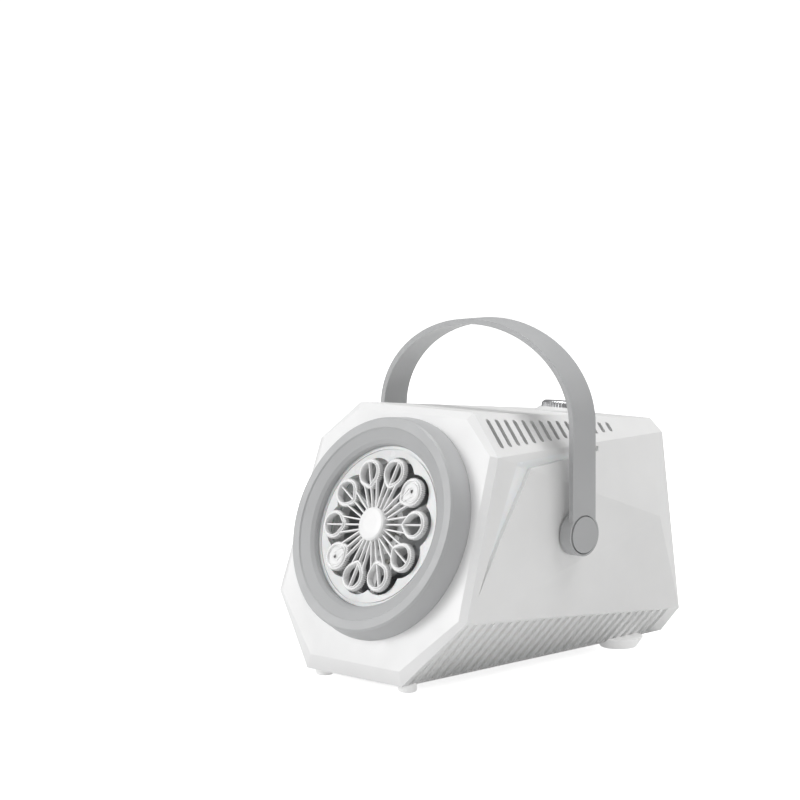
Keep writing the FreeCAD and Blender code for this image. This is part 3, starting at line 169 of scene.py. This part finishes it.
# Painted light: the feet get a raised pale colour and a glow, which brighten them in the shade
# under the body.
FOOT = add_painted_glow(moulded("foot_rubber", (0.86, 0.86, 0.855), 0.6, grain=0.25, depth=0.04),
               (1.0, 1.0, 1.0), 0.25)
BLACK = moulded("black_plastic", (0.03, 0.03, 0.03), 0.45)
CELL = moulded("cell_wrap", (0.10, 0.22, 0.40), 0.35)
COLLAR = moulded("collar_plastic", (0.76, 0.76, 0.76), 0.3)
STEEL = metal("steel", (0.60, 0.60, 0.61), 0.30, (1.0, 8.0, 8.0))
BUTTON_METAL = metal("button_metal", (0.52, 0.52, 0.53), 0.34, (1.0, 10.0, 1.0))
BOARD = circuit_board("circuit_board")

FINISHES = {
    WHITE: ("upper_housing", "lower_housing", "rear_cover", "battery_door"),
    WHITE_FRONT: ("front_frame",),
    GREY: ("outlet_ring", "handle", "pivot_cap_left", "pivot_cap_right"),
    LENS: ("light_ring",),
    GUIDE: ("light_guide_left", "light_guide_right"),
    WHEEL_WHITE: ("wand_wheel", "hub_cap"),
    INNER_WHITE: ("wheel_bracket", "gearbox_case", "battery_box", "solution_tank", "tank_lid"),
    INNER: ("air_duct", "fan_housing", "fan_impeller"),
    GEAR: ("wheel_gear", "motor_pinion"),
    STEEL: ("wheel_motor", "fan_motor", "wheel_axle", "pivot_pin_left", "pivot_pin_right",
            "case_screws", "door_screw", "battery_contacts", "usb_port"),
    BUTTON_METAL: ("power_button",),
    COLLAR: ("button_bezel",),
    BLACK: ("button_stem", "power_switch"),
    BOARD: ("main_board", "ring_light_board", "side_light_board_left",
            "side_light_board_right"),
    CELL: ("battery_cells",),
    FOOT: ("front_feet", "rear_feet"),
}


def paint(item, material):
    """Gives an object one material in place of any it had."""
    item.data.materials.clear()
    item.data.materials.append(material)


for finish, names in FINISHES.items():
    for node_name in names:
        paint(NODES[node_name], finish)


# ---------------------------------------------------------------- softened edges

FLAT_ANGLE = 0.5
SHARP_ANGLE = 24.0
EDGE_SEGMENTS = 3


def soften(item, width):
    """Small moulded radii along the sharp edges, by modifiers over the CAD mesh.
    The width is in mm and the angles above are in degrees."""
    flatten = item.modifiers.new("flatten", "DECIMATE")
    flatten.decimate_type = "DISSOLVE"
    flatten.angle_limit = math.radians(FLAT_ANGLE)
    bevel = item.modifiers.new("edge_radius", "BEVEL")
    bevel.width = width * MM
    bevel.segments = EDGE_SEGMENTS
    bevel.limit_method = "ANGLE"
    bevel.angle_limit = math.radians(SHARP_ANGLE)
    bevel.harden_normals = True
    bevel.use_clamp_overlap = True


EDGE_RADII = {
    "front_frame": 0.8, "rear_cover": 0.9, "upper_housing": 0.45, "lower_housing": 0.35,
    "handle": 0.6, "battery_door": 0.3, "light_guide_left": 0.3, "light_guide_right": 0.3,
}
for node_name, radius in EDGE_RADII.items():
    soften(NODES[node_name], radius)


# ---------------------------------------------------------------- mesh helpers

class Axis:
    """A joint's axis as a place: Z along it, X to the machine's left, Y up."""

    def __init__(self, joint, reverse=False):
        outward = Vector(JOINTS[joint]["axis"]).normalized() * (-1 if reverse else 1)
        across = Vector((1, 0, 0))
        up = outward.cross(across)
        self.outward = outward
        self.centre = Vector(JOINTS[joint].get("pos_m", (0, 0, 0)))
        self.matrix = Matrix.Translation(self.centre) @ Matrix(
            (across, up, outward)).transposed().to_4x4()

    def centred_on(self, node):
        """The same directions with the origin in the middle of a node's box."""
        low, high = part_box(node)
        self.centre = (low + high) / 2
        self.matrix.translation = self.centre
        return self

    def span(self, node):
        """A node's lowest and highest place along the axis, and its reach from it."""
        heights = []
        reaches = []
        for vertex in NODES[node].data.vertices:
            offset = vertex.co - self.centre
            height = offset.dot(self.outward)
            heights.append(height)
            reaches.append((offset - self.outward * height).length)
        return min(heights), max(heights), max(reaches)


def drop_outline(far, big, near, small, samples):
    """Points and outward normals round a teardrop along +Y, evenly spaced."""
    lean = math.asin((big - small) / (far - near))
    half_turn = math.pi / 2 + lean
    straight = math.sqrt((far - near) ** 2 - (big - small) ** 2)
    arcs = (big * 2 * half_turn, straight, small * (2 * math.pi - 2 * half_turn), straight)
    total = sum(arcs)
    points = []
    for index in range(samples):
        at = index * total / samples
        if at < arcs[0]:
            angle = half_turn - at / big
            centre, radius = far, big
        elif at < arcs[0] + arcs[1]:
            angle = -half_turn
            share = (at - arcs[0]) / straight
            centre, radius = far + (near - far) * share, big + (small - big) * share
        elif at < arcs[0] + arcs[1] + arcs[2]:
            angle = -half_turn - (at - arcs[0] - arcs[1]) / small
            centre, radius = near, small
        else:
            angle = half_turn
            share = (at - arcs[0] - arcs[1] - arcs[2]) / straight
            centre, radius = near + (far - near) * share, small + (big - small) * share
        normal = Vector((-math.sin(angle), math.cos(angle), 0))
        points.append((Vector((0, centre, 0)) + normal * radius, normal))
    return points


def circle_outline(radius, samples, middle=(0, 0)):
    """Points and outward normals round a circle, evenly spaced."""
    points = []
    for index in range(samples):
        angle = 2 * math.pi * index / samples
        normal = Vector((math.sin(angle), math.cos(angle), 0))
        points.append((Vector((*middle, 0)) + normal * radius, normal))
    return points


def sweep(mesh, outline, section, ripple=None, turn=0.0):
    """A closed section carried round a closed outline.  Each section point is (out, height),
    or (out, height, depth) where the ripple cuts in by up to that depth."""
    spin = Matrix.Rotation(turn, 4, "Z")
    rings = []
    for index, (point, normal) in enumerate(outline):
        ring = []
        for corner in section:
            out = corner[0]
            if len(corner) > 2:
                out -= corner[2] * ripple(index)
            place = point + normal * out + Vector((0, 0, corner[1]))
            ring.append(mesh.verts.new(spin @ place))
        rings.append(ring)
    size = len(section)
    for index, ring in enumerate(rings):
        after = rings[(index + 1) % len(rings)]
        for corner in range(size):
            step = (corner + 1) % size
            mesh.faces.new((ring[corner], after[corner], after[step], ring[step]))


def disc(mesh, outline, section, ripple=None):
    """An open section carried round an outline, closed at its first and last rings."""
    rings = []
    for corner in section:
        ring = []
        for index, (point, normal) in enumerate(outline):
            out = corner[0]
            if len(corner) > 2:
                out -= corner[2] * ripple(index)
            ring.append(mesh.verts.new(point + normal * out + Vector((0, 0, corner[1]))))
        rings.append(ring)
    count = len(outline)
    for low, high in zip(rings, rings[1:]):
        for index in range(count):
            after = (index + 1) % count
            mesh.faces.new((low[index], low[after], high[after], high[index]))
    mesh.faces.new(list(reversed(rings[0])))
    mesh.faces.new(rings[-1])


ROUND_DOWN = 0.15
ROUND_FLAT = 0.6


def bar(mesh, start, end, wide, low, high, turn):
    """A thin bar between two points of a plane, with its top edges rounded off."""
    spin = Matrix.Rotation(turn, 4, "Z")
    along = (end - start).normalized()
    side = Vector((along.y, -along.x, 0)) * (wide / 2)
    shoulder = high - ROUND_DOWN * wide
    section = ((-1.0, low), (1.0, low), (1.0, shoulder), (ROUND_FLAT, high),
               (-ROUND_FLAT, high), (-1.0, shoulder))
    ends = []
    for point in (start, end):
        ends.append([mesh.verts.new(spin @ (point + side * out + Vector((0, 0, height))))
                     for out, height in section])
    size = len(section)
    for corner in range(size):
        step = (corner + 1) % size
        mesh.faces.new((ends[0][corner], ends[0][step], ends[1][step], ends[1][corner]))
    mesh.faces.new(list(reversed(ends[0])))
    mesh.faces.new(ends[1])


def finish_mesh(mesh, name, matrix, material, sharp_angle=35.0):
    """Turns a bmesh into an object at a place, with smooth shading over soft edges."""
    bmesh.ops.recalc_face_normals(mesh, faces=mesh.faces)
    data = bpy.data.meshes.new(name)
    mesh.to_mesh(data)
    mesh.free()
    data.transform(matrix)
    for face in data.polygons:
        face.use_smooth = True
    data.set_sharp_from_angle(angle=math.radians(sharp_angle))
    item = bpy.data.objects.new(name, data)
    bpy.context.scene.collection.objects.link(item)
    paint(item, material)
    return item


# ---------------------------------------------------------------- wand wheel

LOOPS = 10
WHEEL_PHASE = 12.5
FILLED = (1, 6)
TOOTH_STEP = (0.0, 0.0, 1.0, 1.0)
LOOP_SAMPLES = len(TOOTH_STEP) * 42
HUB_SAMPLES = 72
LOOP_HALF = 7.8 * MM
LOOP_ROOT_HALF = 3.8 * MM
ROOT_FROM_TIP = 13.0 * MM
COLLAR = 1.4 * MM
RIM = 0.8 * MM
TOOTH = 0.8 * MM
RIM_EDGE = 0.5 * MM
SPOKE_WIDE = 0.8 * MM
FILLED_SPOKE_WIDE = 0.9 * MM
SPOKE_INSET = 1.0 * MM
HUB_LAP = 0.6 * MM
RIB_FOOT_SIDE = 2.4 * MM
RIB_HEAD_SIDE = 4.6 * MM
RIB_HEAD_OUT = 1.6 * MM
RIB_FOOT_IN = 0.3 * MM
COLLAR_FOOT = 0.3 * MM
COLLAR_DROP = 0.9 * MM


def make_wheel():
    """Ten teardrop loops with serrated collars, ribs and spokes, two of them filled."""
    axis = Axis("wheel_spin")
    foot, top, reach = axis.span("wand_wheel")
    hub_reach = axis.span("hub_cap")[2]
    far = reach - LOOP_HALF
    near = reach - ROOT_FROM_TIP
    outline = drop_outline(far, LOOP_HALF, near, LOOP_ROOT_HALF, LOOP_SAMPLES)
    inner = -(COLLAR + RIM)
    rim_section = ((inner, foot), (inner, top - RIM_EDGE), (inner + 0.25 * MM, top),
                   (-COLLAR - 0.2 * MM, top), (-COLLAR, top - RIM_EDGE), (-COLLAR, foot))
    collar_low = foot + COLLAR_FOOT
    collar_high = top - COLLAR_DROP
    collar_section = ((-COLLAR - 0.1 * MM, collar_low), (-COLLAR - 0.1 * MM, collar_high),
                      (-0.35 * MM, collar_high, 0.4 * TOOTH),
                      (0.0, collar_high - 0.3 * MM, TOOTH), (0.0, collar_low, TOOTH))
    mesh = bmesh.new()
    spoke_low = foot + SPOKE_INSET
    spoke_high = top - SPOKE_INSET
    start = hub_reach - HUB_LAP
    hub_edge = Vector((0, start, 0))
    for index in range(LOOPS):
        turn = -math.radians(WHEEL_PHASE + index * 360.0 / LOOPS)
        sweep(mesh, outline, rim_section, turn=turn)
        sweep(mesh, outline, collar_section, lambda at: TOOTH_STEP[at % len(TOOTH_STEP)], turn)
        if index in FILLED:
            root = Vector((0, near - LOOP_ROOT_HALF + 0.5 * MM, 0))
            fill_loop(mesh, outline, inner, far, foot, top, turn)
            bar(mesh, hub_edge, root, FILLED_SPOKE_WIDE, spoke_low, spoke_high, turn)
        else:
            tip = Vector((0, reach - COLLAR - 0.3 * MM, 0))
            bar(mesh, hub_edge, tip, SPOKE_WIDE, spoke_low, spoke_high, turn)
        for side in (-1, 1):
            rib_foot = Vector((side * RIB_FOOT_SIDE, start - RIB_FOOT_IN, 0))
            rib_head = Vector((side * RIB_HEAD_SIDE, near + RIB_HEAD_OUT, 0))
            bar(mesh, rib_foot, rib_head, SPOKE_WIDE, spoke_low, spoke_high, turn)
    disc(mesh, circle_outline(hub_reach, HUB_SAMPLES), ((0.0, foot), (0.0, top - 0.05 * MM)))
    item = finish_mesh(mesh, "wand_wheel_loops", axis.matrix, WHEEL_WHITE)
    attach(item, "wheel")
    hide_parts("wand_wheel")


PLATE_HOLE = 0.9 * MM
PLATE_HOLE_OUT = 0.8 * MM
PLATE_FOOT = 1.2 * MM
PLATE_DROP = 0.7 * MM
PLATE_LAP = 0.05 * MM
PANEL_RISE = 0.4 * MM
PANEL_FOOT_IN = 0.7 * MM
PANEL_TOP_IN = 1.0 * MM
RIDGE_WIDE = 0.5 * MM
RIDGE_RISE = 0.35 * MM
RIDGE_SINK = 0.2 * MM


def fill_loop(mesh, outline, inner, far, foot, top, turn):
    """The plate of a filled loop: a small hole, a raised panel and two thin ridges."""
    hole_at = far + PLATE_HOLE_OUT
    hole = circle_outline(PLATE_HOLE, len(outline), (0.0, hole_at))
    low = foot + PLATE_FOOT
    high = top - PLATE_DROP
    step_height = high - PANEL_RISE
    spin = Matrix.Rotation(turn, 4, "Z")
    rings = []
    # A ring without a place from the outline lies on the hole's edge.
    steps = ((inner + PLATE_LAP, low), (inner + PLATE_LAP, step_height),
             (inner - PANEL_FOOT_IN, step_height), (inner - PANEL_TOP_IN, high),
             (None, high), (None, low))
    for out, height in steps:
        ring = []
        for (point, normal), (hole_point, _) in zip(outline, hole):
            place = hole_point if out is None else point + normal * out
            ring.append(mesh.verts.new(spin @ (place + Vector((0, 0, height)))))
        rings.append(ring)
    count = len(outline)
    for index, ring in enumerate(rings):
        after = rings[(index + 1) % len(rings)]
        for at in range(count):
            step = (at + 1) % count
            mesh.faces.new((ring[at], ring[step], after[step], after[at]))
    for side in (-1, 1):
        begin = Vector((side * 1.5 * MM, hole_at - 7.0 * MM, 0))
        end = Vector((side * 2.7 * MM, hole_at - 0.6 * MM, 0))
        bar(mesh, begin, end, RIDGE_WIDE, high - RIDGE_SINK, high + RIDGE_RISE, turn)


# ---------------------------------------------------------------- power button

FLUTES = 44
FLUTE_SAMPLES = 6
FLUTE_DEEP = 0.45
CENTRE_RADIUS = 0.4 * MM
CAP_SHARP_ANGLE = 50.0
# Inward from the side, down from the top and the flutes' depth, in mm: the foot's edge,
# a groove, the fluted side, the rounded step, the rim and the dish.
CAP_SECTION = (
    (0.0, 5.6, 0.0), (0.9, 5.5, 0.0), (0.9, 4.5, 0.0), (0.1, 4.3, 0.0),
    (0.05, 4.0, FLUTE_DEEP), (0.05, 1.6, FLUTE_DEEP), (0.7, 0.9, 0.2), (1.3, 0.35, 0.0),
    (2.0, 0.0, 0.0), (3.0, 0.0, 0.0), (3.6, 0.35, 0.0), (5.5, 0.6, 0.0), (8.0, 0.7, 0.0),
)


def make_button():
    """A stepped cap: a fluted side, a rounded step and a shallow dish in its top."""
    axis = Axis("button_press", reverse=True).centred_on("power_button")
    foot, top, reach = axis.span("power_button")
    outline = circle_outline(reach, FLUTES * FLUTE_SAMPLES)
    wave = [0.5 - 0.5 * math.cos(2 * math.pi * step / FLUTE_SAMPLES)
            for step in range(FLUTE_SAMPLES)]
    sections = [(0.0, foot)]
    for inward, down, cut in CAP_SECTION:
        sections.append((-inward * MM, top - down * MM, cut * MM))
    sections.append((CENTRE_RADIUS - reach, sections[-1][1]))
    mesh = bmesh.new()
    disc(mesh, outline, sections, ripple=lambda at: wave[at % FLUTE_SAMPLES])
    item = finish_mesh(mesh, "power_button_cap", axis.matrix, BUTTON_METAL, CAP_SHARP_ANGLE)
    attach(item, "button")
    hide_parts("power_button")


make_wheel()
make_button()


# ---------------------------------------------------------------- studio and camera

FLOOR_SIZE = 400.0
FLOOR_LIFT = 0.85
AMBIENT = 0.30
BACKDROP = 1.1
LIGHT_AIM = (0, 0, 0.09)
# Lights: name, place, size in metres and power in watts.
LIGHTS = (
    ("key", (-1.1, -1.6, 0.8), (1.0, 0.9), 19.0),
    ("top", (-0.1, 0.2, 1.9), (1.1, 1.1), 19.0),
    ("side", (0.9, 0.7, 1.9), (0.7, 0.7), 8.5),
    ("rear", (0.4, 1.9, 0.5), (0.8, 0.8), 4.0),
    ("low", (1.2, -0.4, 0.05), (0.9, 0.08), 1.2),
)


def camera_only(tree):
    """One for the camera's own rays, zero for light that bounces."""
    return add(tree, "ShaderNodeLightPath").outputs["Is Camera Ray"]


def make_floor():
    """White paper under the machine, lifted toward white for the camera so it has no horizon."""
    bpy.ops.mesh.primitive_plane_add(size=FLOOR_SIZE, location=(0, 0, 0))
    floor = bpy.context.object
    floor.name = "floor"
    material, tree, surface = new_material("floor_paper")
    surface.inputs["Base Color"].default_value = (0.82, 0.82, 0.82, 1.0)
    surface.inputs["Roughness"].default_value = 0.85
    surface.inputs["Emission Color"].default_value = (1.0, 1.0, 1.0, 1.0)
    lift = add(tree, "ShaderNodeMath", operation="MULTIPLY")
    lift.inputs[1].default_value = FLOOR_LIFT
    tree.links.new(camera_only(tree), lift.inputs[0])
    tree.links.new(lift.outputs["Value"], surface.inputs["Emission Strength"])
    paint(floor, material)


def area_light(name, place, target, size, power):
    """A rectangular light at a place, facing the target."""
    data = bpy.data.lights.new(name, "AREA")
    data.shape = "RECTANGLE"
    data.size, data.size_y = size
    data.energy = power
    item = bpy.data.objects.new(name, data)
    bpy.context.scene.collection.objects.link(item)
    item.location = place
    item.rotation_euler = (Vector(target) - Vector(place)).to_track_quat("-Z", "Y").to_euler()


def make_studio():
    """The floor, a white surround and five soft lights."""
    make_floor()
    world = bpy.data.worlds.new("studio")
    world.use_nodes = True
    tree = world.node_tree
    background = tree.nodes["Background"]
    background.inputs["Color"].default_value = (1.0, 1.0, 1.0, 1.0)
    strength = add(tree, "ShaderNodeMapRange")
    strength.inputs["To Min"].default_value = AMBIENT
    strength.inputs["To Max"].default_value = BACKDROP
    tree.links.new(camera_only(tree), strength.inputs["Value"])
    tree.links.new(strength.outputs["Result"], background.inputs["Strength"])
    bpy.context.scene.world = world
    for name, place, size, power in LIGHTS:
        area_light(name, place, LIGHT_AIM, size, power)
    bpy.context.scene.view_settings.view_transform = "Standard"


CAMERA_PLACE = (0.95269, -1.00490, 0.28431)
CAMERA_TARGET = (-0.02522, -0.04143, 0.14355)
CAMERA_LENS = 114.86
CAMERA_ROLL = -0.40


def make_camera():
    """The viewpoint: from the front left of the machine, a little above it.
    The lens is in mm and the roll in degrees."""
    place = Vector(CAMERA_PLACE)
    target = Vector(CAMERA_TARGET)
    data = bpy.data.cameras.new("camera")
    data.lens = CAMERA_LENS
    data.sensor_width = 36.0
    data.clip_start = 0.05
    camera = bpy.data.objects.new("camera", data)
    bpy.context.scene.collection.objects.link(camera)
    turn = (target - place).to_track_quat("-Z", "Y").to_matrix().to_4x4()
    roll = Matrix.Rotation(math.radians(CAMERA_ROLL), 4, "Z")
    camera.matrix_world = Matrix.Translation(place) @ turn @ roll
    bpy.context.scene.camera = camera


make_studio()
make_camera()
